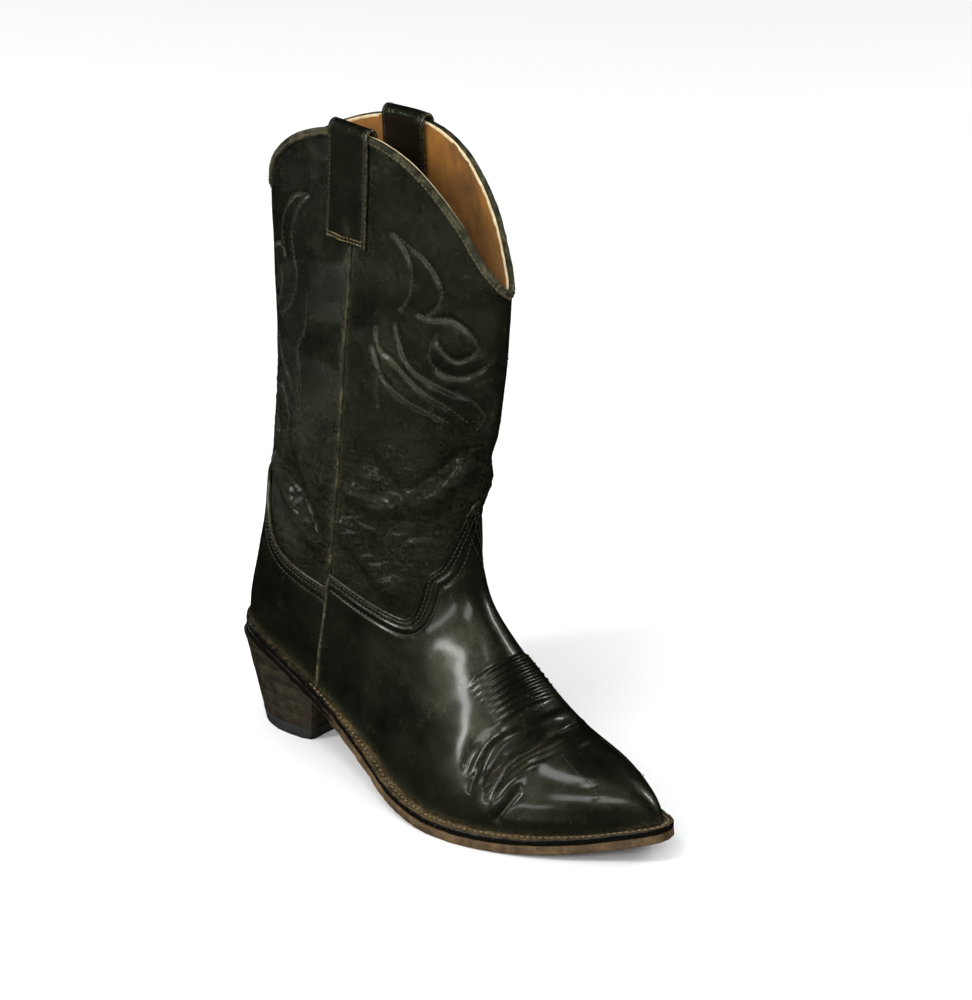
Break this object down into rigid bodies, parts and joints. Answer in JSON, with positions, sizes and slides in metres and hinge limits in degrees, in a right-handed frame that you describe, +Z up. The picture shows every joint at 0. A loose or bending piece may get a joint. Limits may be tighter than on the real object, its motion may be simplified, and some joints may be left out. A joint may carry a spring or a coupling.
{
  "type": "cowboy boot",
  "caption": "Black leather western riding boot for the right foot: scalloped stitched leg, pull straps, pointed toe, welted leather sole and underslung stacked heel.",
  "frame": {"origin": "middle of the boot's footprint, on the floor", "axes": "+X towards the toe, +Y towards the inner side of the foot, +Z up the leg"},
  "size_m": [0.3084, 0.1126, 0.374],
  "materials": {
    "glossy_upper": "polished black leather",
    "leg_leather": "worn satin black leather",
    "lining_leather": "unfinished tan lining leather",
    "trim_leather": "black leather edge, rubbed to grey",
    "stiffener_leather": "moulded stiffener leather",
    "insole_leather": "vegetable-tanned insole leather",
    "welt_leather": "dark dressed welt leather",
    "sole_leather": "worn sole leather",
    "stacked_leather": "stacked heel leather, black dressed",
    "heel_rubber": "moulded black rubber",
    "cork": "granulated cork",
    "spring_steel": "tempered strip",
    "nail_steel": "drawn wire",
    "peg_wood": "split lemonwood"
  },
  "bodies": {
    "root": {"vamp": "glossy_upper", "counter": "glossy_upper", "pull_strap_outer": "glossy_upper", "pull_strap_inner": "glossy_upper", "shaft_front": "leg_leather", "shaft_back": "leg_leather", "vamp_lining": "lining_leather", "shaft_lining_front": "lining_leather", "shaft_lining_back": "lining_leather", "heel_pad": "lining_leather", "top_binding": "trim_leather", "side_piping_outer": "trim_leather", "side_piping_inner": "trim_leather", "toe_box": "stiffener_leather", "heel_stiffener": "stiffener_leather", "insole": "insole_leather", "welt": "welt_leather", "heel_rand": "welt_leather", "outsole": "sole_leather", "cork_filler": "cork", "steel_shank": "spring_steel", "heel_cap": "heel_rubber", "heel_lift_1": "stacked_leather", "heel_lift_2": "stacked_leather", "heel_lift_3": "stacked_leather", "heel_lift_4": "stacked_leather", "heel_lift_5": "stacked_leather", "heel_lift_6": "stacked_leather", "heel_nail_1": "nail_steel", "heel_nail_2": "nail_steel", "heel_nail_3": "nail_steel", "heel_nail_4": "nail_steel", "sole_peg_1": "peg_wood", "sole_peg_2": "peg_wood", "sole_peg_3": "peg_wood", "sole_peg_4": "peg_wood", "sole_peg_5": "peg_wood", "sole_peg_6": "peg_wood", "sole_peg_7": "peg_wood", "sole_peg_8": "peg_wood"}
  },
  "joints": []
}
